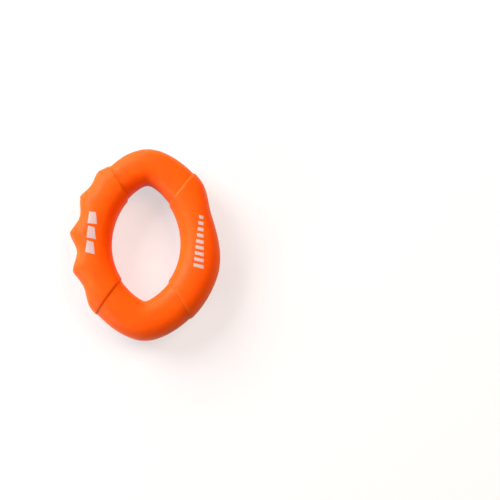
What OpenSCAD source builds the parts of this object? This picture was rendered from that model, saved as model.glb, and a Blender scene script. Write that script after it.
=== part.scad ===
// Hand grip strengthener: a springy silicone ring that closes between palm and fingers.
// Four lengths make the ring, divided by moulded steps: a palm grip and a finger grip,
// which stand proud, and two plain bows, which flex as the grips come together.
// +Z is the ring's axis with the printed face up, +X points to the palm, +Y to the
// index finger's end, and the ring rests on its underside at Z = 0.

/* [Ring outline] */
// Width of the bows' outer outline, which is two arcs that meet in two points
outline_width = 71; // [67:0.5:76]
// Reach of the outer outline's two points from the middle, before they are rounded
outline_reach = 48; // [44:0.2:52]
// How blunt the outer outline's two points are
outline_bluntness = 0.165; // [0.06:0.005:0.25]
// Width of the hole's two-arc outline
hole_width = 33.8; // [31:0.2:37]
// Reach of the hole's upper point from the middle, before it is rounded
hole_upper_reach = 30; // [27:0.2:32]
// How blunt the hole's upper point is
hole_upper_bluntness = 0.08; // [0.03:0.01:0.2]
// Reach of the hole's lower point from the middle, before it is rounded
hole_lower_reach = 27.8; // [26:0.2:31]
// How blunt the hole's lower point is
hole_lower_bluntness = 0.04; // [0.02:0.01:0.2]
// Distance that the hole lies off the middle, towards the fingers
hole_offset = 0.1; // [0:0.1:1.5]
// Depth of the waist where the upper bow meets the finger grip
waist_depth = 0.6; // [0:0.1:1.5]
// Angle over which the waist runs out to both sides
waist_angle = 14; // [8:1:20]

/* [Cross-section] */
// Thickness of the ring along its axis, over the grips
ring_thickness = 21; // [18:0.5:26]
// Fullness of the rounded section: 2 is an ellipse, more is squarer
section_fullness = 2.5; // [2:0.1:3.2]
// How blunt the ridge along the top of the section is at the ring's two ends
ridge_bluntness = 0.18; // [0.1:0.01:0.5]

/* [Moulded steps] */
// Height by which the grips stand proud of the bows, all round the section
grip_step = 0.7; // [0.3:0.1:1.5]
// Share of the step that is an upright face, below its rounded shoulder
step_face_share = 0.45; // [0.2:0.05:0.8]
// Length over which the step's shoulder rounds off
shoulder_length = 1.4; // [0.6:0.1:3]
// Angle from the long axis to the upper bow's step on the palm side
upper_palm_step_angle = 31; // [24:0.5:36]
// Angle from the long axis to the upper bow's step on the finger side
upper_finger_step_angle = 25.5; // [24:0.5:36]
// Angle from the long axis to the lower bow's step on the palm side
lower_palm_step_angle = 31.5; // [24:0.5:36]
// Angle from the long axis to the lower bow's step on the finger side
lower_finger_step_angle = 33.5; // [24:0.5:36]
// Angle that the upper steps lean off the radius, outer ends away from the upper point
upper_step_lean = 5.6; // [0:0.2:8]
// Angle that the lower steps lean off the radius, outer ends away from the lower point
lower_step_lean = 1; // [0:0.2:8]
// Angle over which the ring's sections turn from the radius to the step's lean
step_lean_angle = 25; // [18:1:30]

/* [Palm grip] */
// Depth of the hollow for the ball of the thumb
palm_hollow_depth = 3.2; // [0:0.2:5]
// Direction of the hollow's deepest place, from the palm's axis to the index end
palm_hollow_angle = 26; // [0:1:30]
// Angle over which the hollow runs out towards the index finger
palm_hollow_upper_angle = 27; // [16:1:32]
// Angle over which the hollow runs out towards the little finger
palm_hollow_lower_angle = 51; // [30:1:70]

/* [Finger grip] */
// Angle that each finger's groove takes up, from the index to the little finger
finger_spans = [21, 28, 28.5, 27.5]; // [18:0.5:32]
// Depth of the index finger's groove below its crests
forefinger_groove_depth = 1.8; // [0:0.1:4]
// Depth of the middle finger's groove
middle_groove_depth = 3.2; // [0:0.1:4]
// Depth of the third finger's groove
ring_finger_groove_depth = 3.4; // [0:0.1:4]
// Depth of the little finger's groove
little_groove_depth = 2.3; // [0:0.1:4]
// Direction of the first crest, from the fingers' axis to the index end
first_crest_angle = 56; // [52:0.5:58]
// Evenness of the grooves: lower is a wider groove between narrower crests
groove_evenness = 0.65; // [0.55:0.05:1.2]
// Extra height of the first crest, which falls off to none at the last one
crest_height = 1.2; // [0:0.1:1.6]
// Length over which the crests rise from the grip's two ends
crest_rise_length = 6; // [3:0.5:12]

/* [Printed marks] */
// Thickness of the pad-printed ink
ink_thickness = 0.15; // [0.1:0.05:0.3]
// Number of level marks on the finger grip
level_mark_count = 3; // [1:1:3]
// Width of a level mark half-way down
level_mark_width = 3.8; // [2:0.1:5]
// Amount by which a level mark is wider at its lower edge than at its upper edge
level_mark_flare = 0.7; // [0:0.1:1]
// Height of a level mark
level_mark_height = 5.6; // [3:0.1:6]
// Distance from one level mark to the next
level_mark_pitch = 7; // [6.2:0.05:8]
// Amount by which the first mark's side towards the hole sits lower
level_mark_slant = 0.4; // [0:0.1:1]
// Growth of that slant from one mark to the next
level_mark_slant_growth = 0.35; // [0:0.05:0.5]
// Distance of the first level mark from the ring's middle
level_mark_reach = 25.6; // [24.5:0.1:27]
// Growth of that distance from one mark to the next
level_mark_lean = 0.35; // [0:0.05:0.5]
// Height of the first level mark above the ring's middle
level_mark_top = 10.6; // [8:0.1:13]
// Number of plain bars on the palm grip
scale_bar_count = 9; // [3:1:9]
// Width of a bar
scale_bar_width = 1.6; // [0.8:0.1:2.2]
// Length of the shortest bar
scale_bar_shortest = 2; // [1:0.1:3]
// Length of the longest bar
scale_bar_longest = 4.8; // [3:0.1:6]
// Distance from one bar to the next
scale_bar_pitch = 2.9; // [2.5:0.05:3]
// Drop of a bar towards the palm, as a share of its length
scale_bar_slant = 0.22; // [0:0.02:0.3]
// Distance of the bars' ends towards the palm from the ring's middle
scale_bar_reach = 27.1; // [26:0.1:28]
// Height of the shortest bar above the ring's middle
scale_bar_top = 12.1; // [10:0.1:13]
// Distance by which each bar's outer end is set back from the next one below it
scale_bar_lean = 0.08; // [0:0.01:0.15]

/* [Hidden] */

// Directions, in degrees from the palm's axis towards the index end, where the four
// lengths of the ring meet
upper_palm_step = 90 - upper_palm_step_angle;
upper_finger_step = 90 + upper_finger_step_angle;
lower_finger_step = 270 - lower_finger_step_angle;
lower_palm_step = 270 + lower_palm_step_angle;

// Points round the section, and the stations along each length
section_points = 40;
shoulder_stations = 4;
palm_station_angle = 4;
finger_station_angle = 2;
bow_stations = 12;
// Tries that find where a leaning section reaches an outline
outline_tries = 8;
// How much closer the bows' stations lie towards the ring's points
bow_crowding = 1.4;

// The ink's underside clears the facets of the surface below it
ink_clearance = 0.04;
ink_cell = 1.1;

silicone_colour = "#FF6412";
ink_colour = "#F4F1EC";

// Reach, in direction a, of a lens outline: two equal arcs that meet in two points at
// the given reach, which are then blunted. Their centres lie a shift off the middle.
function lens_reach(a, reach, width, bluntness) =
    let (
        shift = (reach * reach - width * width / 4) / width,
        across = shift * sin(a),
        blunted = sqrt(pow(cos(a), 2) + pow(bluntness, 2)) - sqrt(1 + pow(bluntness, 2)) + 1
    )
    sqrt(reach * reach + shift * shift - across * across) - shift * blunted;

// A smooth dip, 1 in its middle and 0 from a distance of 1 on
function dip(t) = abs(t) >= 1 ? 0 : (1 + cos(180 * t)) / 2;

// Angle from direction b to direction a, between -180 and 180
function turn(a, b) = (a - b + 540) % 360 - 180;

// The bows' own outline, the hole between them and the ridge half-way
function hole_reach(a) = sin(a) > 0 ? hole_upper_reach : hole_lower_reach;
function hole_bluntness(a) = sin(a) > 0 ? hole_upper_bluntness : hole_lower_bluntness;
function outer_reach(a) =
    lens_reach(a, outline_reach, outline_width, outline_bluntness)
    - waist_depth * dip(turn(a, upper_finger_step) / waist_angle);
function inner_reach(a) =
    lens_reach(a, hole_reach(a), hole_width, hole_bluntness(a)) - hole_offset * cos(a);
function ridge_reach(a) =
    (lens_reach(a, outline_reach, outline_width, ridge_bluntness)
    + lens_reach(a, hole_reach(a), hole_width, ridge_bluntness) - hole_offset * cos(a)) / 2;

// Lean of the section at direction a off the radius: in full at each step
function lean_at(a, step, lean) = lean * dip(turn(a, step) / step_lean_angle);
function lean(a) =
    lean_at(a, upper_finger_step, upper_step_lean)
    + lean_at(a, upper_palm_step, -upper_step_lean)
    + lean_at(a, lower_palm_step, lower_step_lean)
    + lean_at(a, lower_finger_step, -lower_step_lean);

// Length of ring between direction a and the nearer end of the grip from low to high
function run_from_end(a, low, high) =
    max(0, min(a - low, high - a)) * PI / 180 * ridge_reach(a);

// A quarter round that rises from 0 to 1 over the given length
function quarter_round(run, length) =
    run >= length ? 1 : sqrt(max(0, 1 - pow(1 - run / length, 2)));

// Height of a grip above the bows' surface
function proud(a, low, high) =
    grip_step * (step_face_share
    + (1 - step_face_share) * quarter_round(run_from_end(a, low, high), shoulder_length));

function palm_hollow(a) =
    let (off = a - palm_hollow_angle)
    palm_hollow_depth * dip(off / (off > 0 ? palm_hollow_upper_angle : palm_hollow_lower_angle));

// Direction of crest i, counted from the fingers' axis towards the index end
function crest_angle(i) =
    i == 0 ? first_crest_angle : crest_angle(i - 1) - finger_spans[i - 1];

// Depth of the groove of finger i at direction b, and of all four together
groove_depths =
    [
        forefinger_groove_depth, middle_groove_depth,
        ring_finger_groove_depth, little_groove_depth
    ];
function groove(i, b) =
    let (t = (crest_angle(i) - b) / finger_spans[i])
    t <= 0 || t >= 1 ? 0 : groove_depths[i] * pow((1 - cos(360 * t)) / 2, groove_evenness);
function grooves(b) = groove(0, b) + groove(1, b) + groove(2, b) + groove(3, b);

// Extra height of the line from crest to crest at direction b, a run from the grip's end
function crest_rise(b, run) =
    let (
        left = (b - crest_angle(4)) / (crest_angle(0) - crest_angle(4)),
        risen = (1 - cos(180 * min(1, run / crest_rise_length))) / 2
    )
    crest_height * pow(min(1, max(0, left)), 2) * risen;

// Distance t from a point on the ridge, the given way, to where an outline is reached:
// the side is 1 for the outer outline and -1 for the hole's, and each try comes closer
function distance_to(outline, point, way, side, t, tries) =
    let (p = point + way * t)
    tries == 0
        ? t
        : distance_to(
            outline, point, way, side, t + side * (outline(atan2(p.y, p.x)) - norm(p)), tries - 1
        );

// Section of the ring at direction a, where it stands proud of the bows by the rise:
// ridge point, way outwards, distances to the outer side and to the hole, half thickness
bow_half_thickness = ring_thickness / 2 - grip_step;
function section(a, rise, outer_outline) =
    let (
        point = ridge_reach(a) * [cos(a), sin(a)],
        way = [cos(a + lean(a)), sin(a + lean(a))],
        to_outer = outer_outline(a) - ridge_reach(a),
        hole_outline = function (b) inner_reach(b) - rise,
        to_hole = ridge_reach(a) - hole_outline(a)
    )
    [
        point,
        way,
        distance_to(outer_outline, point, way, 1, to_outer, outline_tries),
        distance_to(hole_outline, point, -way, -1, to_hole, outline_tries),
        bow_half_thickness + rise
    ];

// The section at direction a of each length of the ring
function palm_section(a) =
    let (rise = proud(a, lower_palm_step - 360, upper_palm_step))
    section(a, rise, function (b) outer_reach(b) + rise - palm_hollow(turn(b, 0)));
function finger_section(a) =
    let (
        rise = proud(a, upper_finger_step, lower_finger_step),
        run = run_from_end(a, upper_finger_step, lower_finger_step)
    )
    section(
        a, rise,
        function (b)
            outer_reach(b) + rise + crest_rise(turn(180, b), run) - grooves(turn(180, b))
    );
function bow_section(a) = section(a, 0, function (b) outer_reach(b));

// Directions spread evenly, about a step apart, from each stop to the next
function spread(stops, step) = [
    for (i = [0 : len(stops) - 2])
    let (count = max(1, round((stops[i + 1] - stops[i]) / step)))
    for (j = [0 : count - 1]) stops[i] + (stops[i + 1] - stops[i]) * j / count
];

// Directions of the stations of a grip: close together on its two shoulders, and with
// one on each of the crests that lie between them
function grip_directions(low, high, crests, step) =
    let (
        shoulder = shoulder_length / ridge_reach(low) * 180 / PI,
        inside = [for (c = crests) if (c > low + 2 * shoulder && c < high - 2 * shoulder) c]
    )
    concat(
        [for (i = [0 : shoulder_stations - 1])
            low + shoulder * (1 - cos(90 * i / shoulder_stations))],
        spread(concat([low + shoulder], inside, [high - shoulder]), step),
        [for (i = [shoulder_stations : -1 : 0])
            high - shoulder * (1 - cos(90 * i / shoulder_stations))]
    );
// Directions of the stations of a bow: close together at the ring's point
function bow_directions(low, point, high, count) = concat(
    [for (i = [count : -1 : 1]) point - (point - low) * pow(i / count, bow_crowding)],
    [for (i = [0 : count]) point + (high - point) * pow(i / count, bow_crowding)]
);

palm_directions =
    grip_directions(lower_palm_step - 360, upper_palm_step, [], palm_station_angle);
finger_directions = grip_directions(
    upper_finger_step, lower_finger_step,
    [for (i = [0 : 4]) 180 - crest_angle(i)], finger_station_angle
);
upper_directions = bow_directions(upper_palm_step, 90, upper_finger_step, bow_stations);
lower_directions = bow_directions(lower_finger_step, 270, lower_palm_step, bow_stations);

palm_sections = [for (a = palm_directions) palm_section(a)];
finger_sections = [for (a = finger_directions) finger_section(a)];

// The ring is set so that its overall box is centred on the origin
palm_extent = max([for (s = palm_sections) (s[0] + s[1] * s[2]).x]);
finger_extent = max([for (s = finger_sections) -(s[0] + s[1] * s[2]).x]);
ring_middle = [(finger_extent - palm_extent) / 2, 0, ring_thickness / 2];

// A power that keeps the sign of what it raises
function signed_power(x, p) = sign(x) * pow(abs(x), p);

// Points round a section, from its outermost point upwards
function section_ring(s) = [
    for (j = [0 : section_points - 1])
    let (
        u = 360 * j / section_points,
        half = cos(u) >= 0 ? s[2] : s[3],
        plan = s[0] + s[1] * half * signed_power(cos(u), 2 / section_fullness)
    )
    [plan.x, plan.y, s[4] * signed_power(sin(u), 2 / section_fullness)]
];

// Height of a grip's printed face over the ring's middle plane, at x, y in section s
function face_height(x, y, s) =
    let (
        off = norm([x, y]) - norm(s[0]),
        half = off >= 0 ? s[2] : s[3]
    )
    s[4] * pow(max(0, 1 - pow(abs(off) / half, section_fullness)), 1 / section_fullness);

// Solid through the given sections, closed by its two end faces
module ring_length(sections) {
    count = len(sections);
    m = section_points;
    points = concat(
        [for (s = sections) each section_ring(s)],
        [for (s = [sections[0], sections[count - 1]]) [s[0].x, s[0].y, 0]]
    );
    skin = [
        for (i = [0 : count - 2], j = [0 : m - 1], half = [0, 1])
        let (
            near = i * m + j,
            near_next = i * m + (j + 1) % m
        )
        half == 0
            ? [near, near_next, near_next + m]
            : [near, near_next + m, near + m]
    ];
    start_face = [for (j = [0 : m - 1]) [count * m, (j + 1) % m, j]];
    end_face = [
        for (j = [0 : m - 1])
        [count * m + 1, (count - 1) * m + j, (count - 1) * m + (j + 1) % m]
    ];
    translate(ring_middle)
        polyhedron(points = points, faces = concat(skin, start_face, end_face), convexity = 6);
}

// Film of ink over a four-sided patch, its corners given in turn in plan
module ink_patch(corners, face) {
    columns = ceil(norm(corners[1] - corners[0]) / ink_cell);
    rows = ceil(norm(corners[3] - corners[0]) / ink_cell);
    plan = [
        for (i = [0 : columns], j = [0 : rows])
        let (
            u = i / columns,
            v = j / rows
        )
        (corners[0] * (1 - u) + corners[1] * u) * (1 - v)
        + (corners[3] * (1 - u) + corners[2] * u) * v
    ];
    under = [for (p = plan) [p.x, p.y, face(p.x, p.y) + ink_clearance]];
    top = [for (p = under) [p.x, p.y, p.z + ink_thickness]];
    layer = len(plan);
    cells = [
        for (i = [0 : columns - 1], j = [0 : rows - 1], half = [0, 1])
        let (
            k = i * (rows + 1) + j,
            across = k + rows + 1
        )
        half == 0 ? [k, across, across + 1] : [k, across + 1, k + 1]
    ];
    rim = concat(
        [for (i = [0 : columns - 1]) i * (rows + 1)],
        [for (j = [0 : rows - 1]) columns * (rows + 1) + j],
        [for (i = [columns : -1 : 1]) i * (rows + 1) + rows],
        [for (j = [rows : -1 : 1]) j]
    );
    walls = [
        for (k = [0 : len(rim) - 1], half = [0, 1])
        let (
            here = rim[k],
            next = rim[(k + 1) % len(rim)]
        )
        half == 0
            ? [here, here + layer, next + layer]
            : [here, next + layer, next]
    ];
    faces = concat(
        cells,
        [for (c = cells) [c[2] + layer, c[1] + layer, c[0] + layer]],
        walls
    );
    translate(ring_middle)
        polyhedron(points = concat(under, top), faces = faces, convexity = 4);
}

// Grip against the palm, waved for the ball of the thumb and the heel of the hand
module palm_grip() {
    color(silicone_colour)
        ring_length(palm_sections);
}

// Grip with a scalloped groove for each finger
module finger_grip() {
    color(silicone_colour)
        ring_length(finger_sections);
}

// Plain end of the ring above the index finger
module upper_bow() {
    color(silicone_colour)
        ring_length([for (a = upper_directions) bow_section(a)]);
}

// Plain end of the ring below the little finger
module lower_bow() {
    color(silicone_colour)
        ring_length([for (a = lower_directions) bow_section(a)]);
}

// Corners of a printed mark, in turn: its right side sits lower by the slant, and its
// lower edge is wider by the flare
function mark_corners(middle, width, height, slant, flare) = [
    middle + [-(width + flare) / 2, (slant - height) / 2],
    middle + [(width + flare) / 2, (-slant - height) / 2],
    middle + [(width - flare) / 2, (height - slant) / 2],
    middle + [-(width - flare) / 2, (height + slant) / 2]
];

// Column of slanted squares printed on the finger grip
module level_marks() {
    finger_face = function (x, y) face_height(x, y, finger_section(180 - atan(y / -x)));
    color(ink_colour)
        for (i = [0 : level_mark_count - 1]) {
            middle = [
                -level_mark_reach - i * level_mark_lean,
                level_mark_top - i * level_mark_pitch
            ];
            slant = level_mark_slant + i * level_mark_slant_growth;
            corners = mark_corners(
                middle, level_mark_width, level_mark_height, slant, level_mark_flare
            );
            ink_patch(corners, finger_face);
        }
}

// Column of plain bars, longer towards the little finger, printed on the palm grip
module scale_bars() {
    palm_face = function (x, y) face_height(x, y, palm_section(atan(y / x)));
    color(ink_colour)
        for (i = [0 : scale_bar_count - 1]) {
            share = i / (scale_bar_count - 1);
            length = scale_bar_shortest + (scale_bar_longest - scale_bar_shortest) * share;
            outer_end = scale_bar_reach - (scale_bar_count - 1 - i) * scale_bar_lean;
            middle = [outer_end - length / 2, scale_bar_top - i * scale_bar_pitch];
            corners = mark_corners(
                middle, length, scale_bar_width, scale_bar_slant * length, 0
            );
            ink_patch(corners, palm_face);
        }
}

palm_grip();
finger_grip();
upper_bow();
lower_bow();
level_marks();
scale_bars();
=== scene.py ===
import math

import bpy
from mathutils import Matrix, Vector


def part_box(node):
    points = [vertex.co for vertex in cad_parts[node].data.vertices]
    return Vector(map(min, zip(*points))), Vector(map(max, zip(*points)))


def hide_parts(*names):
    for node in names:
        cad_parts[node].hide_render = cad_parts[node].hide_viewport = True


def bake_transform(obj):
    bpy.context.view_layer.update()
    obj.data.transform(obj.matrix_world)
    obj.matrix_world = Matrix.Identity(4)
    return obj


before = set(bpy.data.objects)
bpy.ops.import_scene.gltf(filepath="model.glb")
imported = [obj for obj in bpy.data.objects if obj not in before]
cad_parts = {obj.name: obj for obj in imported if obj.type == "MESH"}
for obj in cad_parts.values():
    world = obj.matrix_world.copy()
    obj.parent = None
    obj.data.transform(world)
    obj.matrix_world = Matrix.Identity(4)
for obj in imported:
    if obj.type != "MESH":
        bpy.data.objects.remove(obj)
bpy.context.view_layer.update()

# ---- Palm grip -------------------------------------------------------------------
# The length of the ring that the palm closes on, waved for the ball of the thumb and
# the heel of the hand. It is one piece with the rest: solid silicone, moulded under
# heat between two mould halves, and it stands a little proud of the bows beside it.

# Sizes are in millimetres and degrees, with MM to turn them into metres
MM = 0.001
RING_THICKNESS = 21.0
GRIP_STEP = 0.7
BOW_HALF_THICKNESS = RING_THICKNESS / 2 - GRIP_STEP

# Directions where the four lengths of the ring meet, from the palm's axis towards the
# index finger's end
UPPER_PALM_STEP = 90 - 31
UPPER_FINGER_STEP = 90 + 25.5
LOWER_FINGER_STEP = 270 - 33.5
LOWER_PALM_STEP = 270 + 31.5


def sin_deg(a):
    return math.sin(math.radians(a))


def cos_deg(a):
    return math.cos(math.radians(a))


def turn(a, b):
    """Angle from direction b to direction a, between -180 and 180."""
    return (a - b + 540) % 360 - 180


def dip(t):
    """A smooth dip, 1 in its middle and 0 from a distance of 1 on."""
    return 0.0 if abs(t) >= 1 else (1 + cos_deg(180 * t)) / 2


def quarter_round(run, length):
    return 1.0 if run >= length else math.sqrt(max(0.0, 1 - (1 - run / length) ** 2))


def signed_power(x, p):
    return math.copysign(abs(x) ** p, x)


def lens_reach(a, reach, width, bluntness):
    """Reach, in direction a, of two equal arcs that meet in two blunted points."""
    shift = (reach**2 - width**2 / 4) / width
    blunted = math.hypot(cos_deg(a), bluntness) - math.hypot(1, bluntness) + 1
    return math.sqrt(reach**2 + shift**2 - (shift * sin_deg(a)) ** 2) - shift * blunted


HOLE_WIDTH = 33.8
HOLE_UPPER_REACH = 30.0
HOLE_LOWER_REACH = 27.8
HOLE_OFFSET = 0.1
HOLE_BLUNTNESS = (0.08, 0.04)


def hole_lens(a, upper_bluntness, lower_bluntness):
    """Reach of the hole's outline, which runs out a little further at its upper end."""
    upper = sin_deg(a) > 0
    reach = HOLE_UPPER_REACH if upper else HOLE_LOWER_REACH
    bluntness = upper_bluntness if upper else lower_bluntness
    return lens_reach(a, reach, HOLE_WIDTH, bluntness) - HOLE_OFFSET * cos_deg(a)


def inner_reach(a):
    return hole_lens(a, *HOLE_BLUNTNESS)


OUTLINE_WIDTH = 71.0
OUTLINE_REACH = 48.0
OUTLINE_BLUNTNESS = 0.165
WAIST_DEPTH = 0.6
WAIST_ANGLE = 14


def outer_reach(a):
    """Reach of the bows' outline, with a waist where the finger grip begins."""
    waist = WAIST_DEPTH * dip(turn(a, UPPER_FINGER_STEP) / WAIST_ANGLE)
    return lens_reach(a, OUTLINE_REACH, OUTLINE_WIDTH, OUTLINE_BLUNTNESS) - waist


RIDGE_BLUNTNESS = 0.18


def ridge_reach(a):
    """Reach of the line half-way between the outline and the hole, with softer points."""
    outline = lens_reach(a, OUTLINE_REACH, OUTLINE_WIDTH, RIDGE_BLUNTNESS)
    return (outline + hole_lens(a, RIDGE_BLUNTNESS, RIDGE_BLUNTNESS)) / 2


# Lean of the sections off the radius at each step, as the steps aren't quite radial
STEP_LEANS = (
    (UPPER_FINGER_STEP, 5.6),
    (UPPER_PALM_STEP, -5.6),
    (LOWER_PALM_STEP, 1.0),
    (LOWER_FINGER_STEP, -1.0),
)
LEAN_ANGLE = 25


def lean(a):
    """Lean of the section in direction a, which runs out on both sides of a step."""
    return sum(angle * dip(turn(a, step) / LEAN_ANGLE) for step, angle in STEP_LEANS)


SHOULDER_LENGTH = 1.5
STEP_FACE_SHARE = 0.12


def run_from_end(a, low, high):
    """Length of ring from direction a to the nearer end of the grip."""
    return max(0.0, math.radians(min(a - low, high - a)) * ridge_reach(a))


def proud(a, low, high):
    """Height of a grip above the bows: a low upright step under a rounded shoulder."""
    rounded = quarter_round(run_from_end(a, low, high), SHOULDER_LENGTH)
    return GRIP_STEP * (STEP_FACE_SHARE + (1 - STEP_FACE_SHARE) * rounded)


def distance_to(outline, point, way, side, t):
    """Distance from a point on the ridge, the given way, to where an outline lies."""
    for _ in range(8):
        p = point + way * t
        t += side * (outline(math.degrees(math.atan2(p.y, p.x))) - p.length)
    return t


def section(a, rise, outer_outline):
    """Ridge point, way outwards, distances to the outer side and to the hole, height."""
    point = Vector((cos_deg(a), sin_deg(a))) * ridge_reach(a)
    way = Vector((cos_deg(a + lean(a)), sin_deg(a + lean(a))))

    def hole_outline(b):
        return inner_reach(b) - rise

    to_outer = outer_outline(a) - ridge_reach(a)
    to_hole = ridge_reach(a) - hole_outline(a)
    return (
        point, way,
        distance_to(outer_outline, point, way, 1, to_outer),
        distance_to(hole_outline, point, -way, -1, to_hole),
        BOW_HALF_THICKNESS + rise,
    )


# The hollow for the ball of the thumb, and how far it runs out on both sides
HOLLOW_DEPTH = 3.2
HOLLOW_DIRECTION = 26
HOLLOW_UPPER_ANGLE = 27
HOLLOW_LOWER_ANGLE = 51


def palm_section(a):
    rise = proud(a, LOWER_PALM_STEP - 360, UPPER_PALM_STEP)

    def outline(b):
        off = turn(b, HOLLOW_DIRECTION)
        run_out = HOLLOW_UPPER_ANGLE if off > 0 else HOLLOW_LOWER_ANGLE
        return outer_reach(b) + rise - HOLLOW_DEPTH * dip(off / run_out)

    return section(a, rise, outline)


# The ring is set so that its palm side ends where the grip in the frame ends. The palm
# grip is gone over from -58 degrees to its upper step in quarters of a degree.
palm_sections = (palm_section(-58 + i / 4) for i in range(468))
palm_extent = max((point + way * to_outer).x for point, way, to_outer, _, _ in palm_sections)
ring_middle = Vector((
    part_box("palm_grip")[1][0] - palm_extent * MM, 0, RING_THICKNESS / 2 * MM
))

# The two mould halves meet on the ring's middle plane and leave a fine line of flash,
# which stands up between the drawn-in surfaces on both sides of it
SECTION_POINTS = 80
SECTION_FULLNESS = 2.5
FLASH_HEIGHT = 0.06
FLASH_PROFILE = ((-0.28, 0.0), (-0.08, 1.0), (0.08, 1.0), (0.28, 0.0))


def section_loop(s):
    """Points round a section, from its outermost point upwards, with the flash lines."""
    point, way, to_outer, to_hole, half_height = s
    profile = []
    for j in range(SECTION_POINTS):
        u = 360 * j / SECTION_POINTS
        half = to_outer if cos_deg(u) >= 0 else to_hole
        if j % (SECTION_POINTS // 2) == 0:
            side = 1 if j == 0 else -1
            for z, share in FLASH_PROFILE:
                profile.append((side * (half + FLASH_HEIGHT * (share - 1)), side * z))
        else:
            t = half * signed_power(cos_deg(u), 2 / SECTION_FULLNESS)
            z = half_height * signed_power(sin_deg(u), 2 / SECTION_FULLNESS)
            profile.append((t, z))
    plans = [(point + way * t, z) for t, z in profile]
    return [ring_middle + Vector((p.x, p.y, z)) * MM for p, z in plans]


STATION_ANGLE = 0.9
SHOULDER_STATIONS = 12


def stations(low, high, stops=(), shoulders=True):
    """Directions from low to high through the stops, close together on the shoulders."""
    edges = [low, *stops, high]
    directions = set(edges)
    for start, end in zip(edges, edges[1:]):
        count = max(1, round((end - start) / STATION_ANGLE))
        directions |= {start + (end - start) * i / count for i in range(count)}
    if shoulders:
        shoulder = math.degrees(SHOULDER_LENGTH / ridge_reach(low))
        turns = [90 / SHOULDER_STATIONS * i for i in range(SHOULDER_STATIONS + 1)]
        steps = [shoulder * (1 - cos_deg(t)) for t in turns]
        directions = {a for a in directions if low + shoulder < a < high - shoulder}
        directions |= {low + s for s in steps} | {high - s for s in steps}
    return sorted(directions)


def moulded_length(name, sections):
    """Mesh of one length of the ring through its sections, closed at its two ends."""
    loops = [section_loop(s) for s in sections]
    ring = len(loops[0])
    points = [p for loop in loops for p in loop]
    faces = []
    for i in range(len(loops) - 1):
        for j in range(ring):
            k = (j + 1) % ring
            near, far = i * ring, (i + 1) * ring
            faces.append((near + j, near + k, far + k, far + j))
    faces.append(tuple(range(ring))[::-1])
    faces.append(tuple(range(len(points) - ring, len(points))))
    mesh = bpy.data.meshes.new(name)
    mesh.from_pydata(points, [], faces)
    mesh.update()
    mesh.shade_smooth()
    mesh.set_sharp_from_angle(angle=math.radians(50))
    piece = bpy.data.objects.new(name, mesh)
    bpy.context.scene.collection.objects.link(piece)
    return piece


def srgb(text):
    """Linear colour of an sRGB hex value."""
    parts = [int(text[i:i + 2], 16) / 255 for i in (1, 3, 5)]
    linear = [c / 12.92 if c <= 0.04045 else ((c + 0.055) / 1.055) ** 2.4 for c in parts]
    return (*linear, 1)


def add_node(tree, kind, settings=None, inputs=None, links=None):
    """Adds a node with its settings, its fixed inputs and its links from other nodes."""
    node = tree.nodes.new(kind)
    for key, value in (settings or {}).items():
        setattr(node, key, value)
    for key, value in (inputs or {}).items():
        node.inputs[key].default_value = value
    for key, source in (links or {}).items():
        tree.links.new(source, node.inputs[key])
    return node


# Heat-cured silicone rubber, pigmented orange all through and left with the mould's
# fine blasted finish. It looks satin: soft broad lights, a little light under the
# skin, and no hard reflections. Thin lint and handling marks show on it first.
# Its convex edges, the grips' stepped shoulders most, carry a painted highlight of a
# lighter orange.
# Sizes are in millimetres. The blast's own grit is about 0.05 mm, too fine to show, so
# it is drawn at 0.24 mm.
SILICONE_ORANGE = "#FF6306"
SILICONE_DEEP = "#FF5B04"
# Lighter orange of the painted highlight on convex edges
SILICONE_EDGE_HIGHLIGHT = "#FF7E2A"
SILICONE_LINT = "#FFB48C"
SILICONE_IOR = 1.41
GRIT_SIZE = 0.24
MOTTLE_SIZE = 14.3
LINT_SPACING = 1.9
HANDLING_SIZE = 4.8

silicone = bpy.data.materials.new("silicone_moulded_satin_orange")
silicone.use_nodes = True
tree = silicone.node_tree
tree.nodes.clear()
place = add_node(tree, "ShaderNodeTexCoord").outputs["Object"]
mottle = add_node(
    tree, "ShaderNodeTexNoise",
    inputs={"Scale": 1 / (MOTTLE_SIZE * MM), "Detail": 4, "Roughness": 0.55},
    links={"Vector": place},
)
pigment = add_node(
    tree, "ShaderNodeMix", {"data_type": "RGBA"},
    {"A": srgb(SILICONE_ORANGE), "B": srgb(SILICONE_DEEP)},
    {"Factor": mottle.outputs["Fac"]},
)
# Painted highlight: where the surface is convex, as on the grips' stepped shoulders, the
# colour is mixed towards a lighter orange, as if those edges caught the light
edge_highlight_mask = add_node(
    tree, "ShaderNodeMapRange",
    inputs={"From Min": 0.515, "From Max": 0.56, "To Min": 0.0, "To Max": 0.55},
    links={"Value": add_node(tree, "ShaderNodeNewGeometry").outputs["Pointiness"]},
)
edge_highlighted = add_node(
    tree, "ShaderNodeMix", {"data_type": "RGBA"},
    {"B": srgb(SILICONE_EDGE_HIGHLIGHT)},
    {"Factor": edge_highlight_mask.outputs["Result"], "A": pigment.outputs["Result"]},
)
lint = add_node(
    tree, "ShaderNodeTexVoronoi", {"feature": "F1"},
    {"Scale": 1 / (LINT_SPACING * MM), "Randomness": 1.0},
    {"Vector": place},
)
lint_spots = add_node(
    tree, "ShaderNodeMapRange",
    inputs={"From Min": 0.1, "From Max": 0.04, "To Min": 0.0, "To Max": 0.12},
    links={"Value": lint.outputs["Distance"]},
)
coloured = add_node(
    tree, "ShaderNodeMix", {"data_type": "RGBA"},
    {"B": srgb(SILICONE_LINT)},
    {"Factor": lint_spots.outputs["Result"], "A": edge_highlighted.outputs["Result"]},
)
handled = add_node(
    tree, "ShaderNodeTexNoise",
    inputs={
        "Scale": 1 / (HANDLING_SIZE * MM),
        "Detail": 6,
        "Roughness": 0.62,
        "Distortion": 0.4,
    },
    links={"Vector": place},
)
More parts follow.
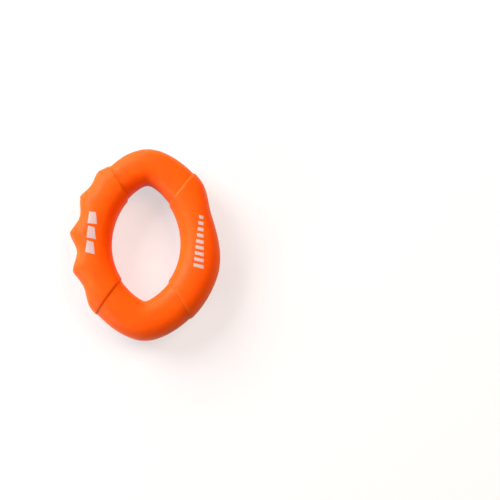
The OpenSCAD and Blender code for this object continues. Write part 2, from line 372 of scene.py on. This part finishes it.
satin = add_node(
    tree, "ShaderNodeMapRange",
    inputs={"From Min": 0.3, "From Max": 0.7, "To Min": 0.46, "To Max": 0.58},
    links={"Value": handled.outputs["Fac"]},
)
grit = add_node(
    tree, "ShaderNodeTexNoise",
    inputs={"Scale": 1 / (GRIT_SIZE * MM), "Detail": 2, "Roughness": 0.5},
    links={"Vector": place},
)
grit_bump = add_node(
    tree, "ShaderNodeBump",
    inputs={"Strength": 0.18, "Distance": 0.00004},
    links={"Height": grit.outputs["Fac"]},
)
soft_bump = add_node(
    tree, "ShaderNodeBump",
    inputs={"Strength": 0.12, "Distance": 0.0004},
    links={"Height": mottle.outputs["Fac"], "Normal": grit_bump.outputs["Normal"]},
)
shader = add_node(
    tree, "ShaderNodeBsdfPrincipled",
    inputs={
        "IOR": SILICONE_IOR,
        "Subsurface Weight": 0.6,
        "Subsurface Radius": (1.0, 0.16, 0.03),
        "Subsurface Scale": 0.006,
        "Specular IOR Level": 0.26,
    },
    links={
        "Base Color": coloured.outputs["Result"],
        "Roughness": satin.outputs["Result"],
        "Normal": soft_bump.outputs["Normal"],
    },
)
add_node(
    tree, "ShaderNodeOutputMaterial",
    links={"Surface": shader.outputs["BSDF"]},
)


def finish_piece(piece, node, material):
    piece.data.materials.append(material)
    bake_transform(piece)
    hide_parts(node)


palm_directions = stations(LOWER_PALM_STEP - 360, UPPER_PALM_STEP)
palm_grip = moulded_length("palm_grip_moulding", [palm_section(a) for a in palm_directions])
finish_piece(palm_grip, "palm_grip", silicone)

# ---- Finger grip -----------------------------------------------------------------
# The length that the four fingers pull on: a scalloped groove under each finger, with
# a crest between one finger and the next. The grooves run out on the upper and lower
# faces before they reach the ridge. Same silicone, same mould.

# Direction of each crest, from the fingers' axis towards the index finger's end, and
# the depth of the groove below it
CREST_ANGLES = (56.0, 35.0, 7.0, -21.5, -49.0)
GROOVE_DEPTHS = (1.8, 3.2, 3.4, 2.3)
GROOVE_EVENNESS = 0.65
CREST_HEIGHT = 1.2
CREST_RISE_LENGTH = 6.0


def grooves(b):
    """Depth of the finger grooves at b degrees from the fingers' axis."""
    for upper, lower, depth in zip(CREST_ANGLES, CREST_ANGLES[1:], GROOVE_DEPTHS):
        if lower < b < upper:
            t = (upper - b) / (upper - lower)
            return depth * ((1 - cos_deg(360 * t)) / 2) ** GROOVE_EVENNESS
    return 0.0


def crest_rise(b, run):
    """Extra height of the line from crest to crest, most by the index finger."""
    left = (b - CREST_ANGLES[-1]) / (CREST_ANGLES[0] - CREST_ANGLES[-1])
    risen = (1 - cos_deg(180 * min(1, run / CREST_RISE_LENGTH))) / 2
    return CREST_HEIGHT * min(1, max(0, left)) ** 2 * risen


def finger_section(a):
    rise = proud(a, UPPER_FINGER_STEP, LOWER_FINGER_STEP)
    run = run_from_end(a, UPPER_FINGER_STEP, LOWER_FINGER_STEP)

    def outline(direction):
        b = turn(180, direction)
        return outer_reach(direction) + rise + crest_rise(b, run) - grooves(b)

    return section(a, rise, outline)


finger_directions = stations(
    UPPER_FINGER_STEP, LOWER_FINGER_STEP, [180 - b for b in CREST_ANGLES]
)
finger_grip = moulded_length(
    "finger_grip_moulding", [finger_section(a) for a in finger_directions]
)
finish_piece(finger_grip, "finger_grip", silicone)

# ---- Bows ------------------------------------------------------------------------
# The two plain ends of the ring, which flex as the grips close. They lie a step lower
# than the grips all round, and draw to a blunt point inside the hole.


def bow(name, low, point, high):
    directions = stations(low, high, [point], shoulders=False)
    return moulded_length(name, [section(a, 0, outer_reach) for a in directions])


upper_bow = bow("upper_bow_moulding", UPPER_PALM_STEP, 90, UPPER_FINGER_STEP)
finish_piece(upper_bow, "upper_bow", silicone)
lower_bow = bow("lower_bow_moulding", LOWER_FINGER_STEP, 270, LOWER_PALM_STEP)
finish_piece(lower_bow, "lower_bow", silicone)

# ---- Printed marks ---------------------------------------------------------------
# Three slanted squares on the finger grip, for the ring's level of firmness, and a row
# of plain bars on the palm grip. Both are one thin layer of white silicone ink, laid
# on the upper face with a soft pad and cured there.

INK_THICKNESS = 0.12
INK_CLEARANCE = 0.02
INK_GRID = 10


def face_height(p, s):
    """Height of a grip's upper face over the ring's middle plane, at p in section s."""
    point, way, to_outer, to_hole, half_height = s
    off = p.length - point.length
    half = to_outer if off >= 0 else to_hole
    level = max(0.0, 1 - (abs(off) / half) ** SECTION_FULLNESS)
    return half_height * level ** (1 / SECTION_FULLNESS)


def ink_print(name, patches, section_at):
    """Mesh of thin films over four-sided patches, whose corners are given in plan."""
    points, faces = [], []
    n = INK_GRID
    for corners in patches:
        base = len(points)
        a, b, c, d = (Vector(p) for p in corners)
        plan = [
            a.lerp(b, i / n).lerp(d.lerp(c, i / n), j / n)
            for i in range(n + 1) for j in range(n + 1)
        ]
        angles = [math.degrees(math.atan2(p.y, p.x)) % 360 for p in plan]
        heights = [face_height(p, section_at(a)) for p, a in zip(plan, angles)]
        for lift in (INK_CLEARANCE, INK_CLEARANCE + INK_THICKNESS):
            for p, z in zip(plan, heights):
                points.append(ring_middle + Vector((p.x, p.y, z + lift)) * MM)
        layer = (n + 1) ** 2
        for i in range(n):
            for j in range(n):
                k = base + i * (n + 1) + j
                cell = (k, k + 1, k + n + 2, k + n + 1)
                faces.append(cell)
                faces.append(tuple(v + layer for v in cell[::-1]))
        rim = [i * (n + 1) for i in range(n)]
        rim += [n * (n + 1) + j for j in range(n)]
        rim += [i * (n + 1) + n for i in range(n, 0, -1)]
        rim += list(range(n, 0, -1))
        for here, after in zip(rim, rim[1:] + rim[:1]):
            low, high = base + here, base + after
            faces.append((low, high, high + layer, low + layer))
    mesh = bpy.data.meshes.new(name)
    mesh.from_pydata(points, [], faces)
    mesh.update()
    mesh.shade_smooth()
    mesh.set_sharp_from_angle(angle=math.radians(40))
    piece = bpy.data.objects.new(name, mesh)
    bpy.context.scene.collection.objects.link(piece)
    return piece


# Pad-printed silicone ink: an opaque warm white, a touch glossier than the rubber, laid
# down through a fine dot screen that still shows as faint grey, with pinholes here and
# there. A real screen has dots about 0.1 mm apart, too fine to show, so they are drawn
# 0.77 mm apart, and the film's grain at 0.38 mm.
INK_WHITE = "#D0B6B0"
INK_SCREEN = "#8E889E"
INK_THIN = "#E99571"
DOT_SPACING = 0.77
FILM_GRAIN = 0.38

ink = bpy.data.materials.new("silicone_ink_pad_printed_white")
ink.use_nodes = True
tree = ink.node_tree
tree.nodes.clear()
place = add_node(tree, "ShaderNodeTexCoord").outputs["Object"]
screen = add_node(
    tree, "ShaderNodeTexVoronoi", {"feature": "F1", "voronoi_dimensions": "2D"},
    {"Scale": 1 / (DOT_SPACING * MM), "Randomness": 0.25},
    {"Vector": place},
)
screen_dots = add_node(
    tree, "ShaderNodeMapRange",
    inputs={"From Min": 0.5, "From Max": 0.2, "To Min": 0.0, "To Max": 0.35},
    links={"Value": screen.outputs["Distance"]},
)
dotted = add_node(
    tree, "ShaderNodeMix", {"data_type": "RGBA"},
    {"A": srgb(INK_WHITE), "B": srgb(INK_SCREEN)},
    {"Factor": screen_dots.outputs["Result"]},
)
thin = add_node(
    tree, "ShaderNodeTexNoise",
    inputs={"Scale": 1 / (FILM_GRAIN * MM), "Detail": 5, "Roughness": 0.7},
    links={"Vector": place},
)
pinholes = add_node(
    tree, "ShaderNodeMapRange",
    inputs={"From Min": 0.66, "From Max": 0.74, "To Min": 0.0, "To Max": 0.6},
    links={"Value": thin.outputs["Fac"]},
)
inked = add_node(
    tree, "ShaderNodeMix", {"data_type": "RGBA"},
    {"B": srgb(INK_THIN)},
    {"Factor": pinholes.outputs["Result"], "A": dotted.outputs["Result"]},
)
ink_gloss = add_node(
    tree, "ShaderNodeMapRange",
    inputs={"From Min": 0.3, "From Max": 0.7, "To Min": 0.34, "To Max": 0.5},
    links={"Value": thin.outputs["Fac"]},
)
ink_bump = add_node(
    tree, "ShaderNodeBump",
    inputs={"Strength": 0.25, "Distance": 0.00003},
    links={"Height": thin.outputs["Fac"]},
)
shader = add_node(
    tree, "ShaderNodeBsdfPrincipled",
    inputs={"IOR": SILICONE_IOR},
    links={
        "Base Color": inked.outputs["Result"],
        "Roughness": ink_gloss.outputs["Result"],
        "Normal": ink_bump.outputs["Normal"],
    },
)
add_node(
    tree, "ShaderNodeOutputMaterial",
    links={"Surface": shader.outputs["BSDF"]},
)


def mark_corners(x, y, width, height, slant, flare=0.0):
    """Corners of a printed mark: it drops by the slant to the right, and flares below."""
    return (
        (x - (width + flare) / 2, y + (slant - height) / 2),
        (x + (width + flare) / 2, y - (slant + height) / 2),
        (x + (width - flare) / 2, y - (slant - height) / 2),
        (x - (width - flare) / 2, y + (slant + height) / 2),
    )


SQUARE_COUNT = 3
SQUARE_WIDTH = 3.8
SQUARE_HEIGHT = 5.6
SQUARE_FLARE = 0.7
SQUARE_PITCH = 7.0
SQUARE_REACH = 25.6
SQUARE_TOP = 10.6
SQUARE_SLANT = 0.4
SQUARE_GROWTH = 0.35  # how much further out, and how much more slanted, the next one is
squares = [
    mark_corners(
        -SQUARE_REACH - SQUARE_GROWTH * i, SQUARE_TOP - SQUARE_PITCH * i,
        SQUARE_WIDTH, SQUARE_HEIGHT, SQUARE_SLANT + SQUARE_GROWTH * i, SQUARE_FLARE,
    )
    for i in range(SQUARE_COUNT)
]
level_marks = ink_print("level_marks_ink", squares, finger_section)
finish_piece(level_marks, "level_marks", ink)

BAR_COUNT = 9
BAR_WIDTH = 1.6
BAR_SHORTEST = 2.0
BAR_LONGEST = 4.8
BAR_PITCH = 2.9
BAR_REACH = 27.1
BAR_TOP = 12.1
BAR_SET_BACK = 0.08
BAR_SLANT = 0.22
bars = []
for i in range(BAR_COUNT):
    length = BAR_SHORTEST + (BAR_LONGEST - BAR_SHORTEST) * i / (BAR_COUNT - 1)
    middle = BAR_REACH - BAR_SET_BACK * (BAR_COUNT - 1 - i) - length / 2
    height = BAR_TOP - BAR_PITCH * i
    bars.append(mark_corners(middle, height, length, BAR_WIDTH, BAR_SLANT * length))
scale_bars = ink_print("scale_bars_ink", bars, lambda a: palm_section(turn(a, 0)))
finish_piece(scale_bars, "scale_bars", ink)

# ---- Floor, light and camera -----------------------------------------------------
# A plain white table under the ring and a large soft lamp up and to the left, with two
# weaker ones low beside it. A warm one up on the right opens the shadows, as a hand would.

FLOOR_HALF = 3.0
floor_mesh = bpy.data.meshes.new("floor")
floor_mesh.from_pydata(
    [(-FLOOR_HALF, -FLOOR_HALF, 0), (FLOOR_HALF, -FLOOR_HALF, 0),
     (FLOOR_HALF, FLOOR_HALF, 0), (-FLOOR_HALF, FLOOR_HALF, 0)],
    [], [(0, 1, 2, 3)],
)
floor = bpy.data.objects.new("floor", floor_mesh)
bpy.context.scene.collection.objects.link(floor)

# Matt white paper. The camera, and anything glossy or clear, sees it partly lit and
# partly as plain white, so that it keeps the ring's shadow under a white ground. The
# light that it throws back at the ring is that of a plain table.
PAPER_WHITE = "#F4F4F4"
TABLE_GREY = "#BDBDBD"
PLAIN_WHITE_SHARE = 0.58

paper = bpy.data.materials.new("paper_matt_white")
paper.use_nodes = True
tree = paper.node_tree
tree.nodes.clear()
lit_paper = add_node(tree, "ShaderNodeBsdfDiffuse", inputs={"Color": srgb(PAPER_WHITE)})
plain_white = add_node(tree, "ShaderNodeEmission", inputs={"Strength": 1.0})
shown = add_node(
    tree, "ShaderNodeMixShader",
    inputs={0: PLAIN_WHITE_SHARE},
    links={1: lit_paper.outputs[0], 2: plain_white.outputs[0]},
)
table_grey = add_node(tree, "ShaderNodeBsdfDiffuse", inputs={"Color": srgb(TABLE_GREY)})
rays = add_node(tree, "ShaderNodeLightPath").outputs
seen_or_mirrored = add_node(
    tree, "ShaderNodeMath", {"operation": "MAXIMUM"},
    links={0: rays["Is Camera Ray"], 1: rays["Is Glossy Ray"]},
)
seen = add_node(
    tree, "ShaderNodeMath", {"operation": "MAXIMUM"},
    links={0: seen_or_mirrored.outputs[0], 1: rays["Is Transmission Ray"]},
)
paper_or_table = add_node(
    tree, "ShaderNodeMixShader",
    links={0: seen.outputs[0], 1: table_grey.outputs[0], 2: shown.outputs[0]},
)
add_node(
    tree, "ShaderNodeOutputMaterial",
    links={"Surface": paper_or_table.outputs[0]},
)
floor_mesh.materials.append(paper)


def soft_lamp(name, place, size, watts, color=(1, 1, 1), mirrored=True):
    """A square area lamp that faces the ring, left out of its reflections if asked."""
    light = bpy.data.lights.new(name, "AREA")
    light.size = size
    light.energy = watts
    light.color = color
    lamp = bpy.data.objects.new(name, light)
    lamp.location = place
    lamp.rotation_euler = (ring_middle - Vector(place)).to_track_quat("-Z", "Y").to_euler()
    lamp.visible_glossy = mirrored
    bpy.context.scene.collection.objects.link(lamp)


soft_lamp("key_lamp", (-0.89, 0.56, 0.69), 0.8, 21)
soft_lamp("low_lamp", (-0.96, -0.75, 0.31), 0.4, 7.5)
soft_lamp("top_lamp", (-0.40, 1.10, 0.44), 0.4, 5)
soft_lamp("fill_lamp", (0.62, 0.36, 1.03), 0.8, 12, (1.0, 0.68, 0.56), mirrored=False)

world = bpy.data.worlds.new("studio")
bpy.context.scene.world = world
world.use_nodes = True
world.node_tree.nodes["Background"].inputs["Color"].default_value = (1, 1, 1, 1)
world.node_tree.nodes["Background"].inputs["Strength"].default_value = 0.02

# The camera stands over the ring, tipped a little towards the little finger's end, and
# looks past it to the right, so that the ring lies left of the middle of the frame.
CAMERA_DISTANCE = 0.9
CAMERA_TILT = 8.5
CAMERA_ROLL = 1.34
PIXELS_PER_MM = 2.103
FRAME_PIXELS = 500
RING_IN_FRAME = (146.4, 244.6)

pixels_away = PIXELS_PER_MM * CAMERA_DISTANCE / MM
back = Vector((0, -sin_deg(CAMERA_TILT), cos_deg(CAMERA_TILT)))
level_right = Vector((1, 0, 0))
level_up = back.cross(level_right)
right = level_right * cos_deg(CAMERA_ROLL) + level_up * sin_deg(CAMERA_ROLL)
up = back.cross(right)
facing_ring = Matrix((right, up, back)).transposed()
to_ring = Vector((
    RING_IN_FRAME[0] - FRAME_PIXELS / 2, FRAME_PIXELS / 2 - RING_IN_FRAME[1], -pixels_away
))
turned = to_ring.rotation_difference(Vector((0, 0, -1))).to_matrix()
lens = bpy.data.cameras.new("camera")
lens.angle = 2 * math.atan(FRAME_PIXELS / 2 / pixels_away)
camera = bpy.data.objects.new("camera", lens)
camera.matrix_world = (
    Matrix.Translation(ring_middle + back * CAMERA_DISTANCE)
    @ (facing_ring @ turned).to_4x4()
)
bpy.context.scene.collection.objects.link(camera)
bpy.context.scene.camera = camera
bpy.context.scene.view_settings.view_transform = "Standard"
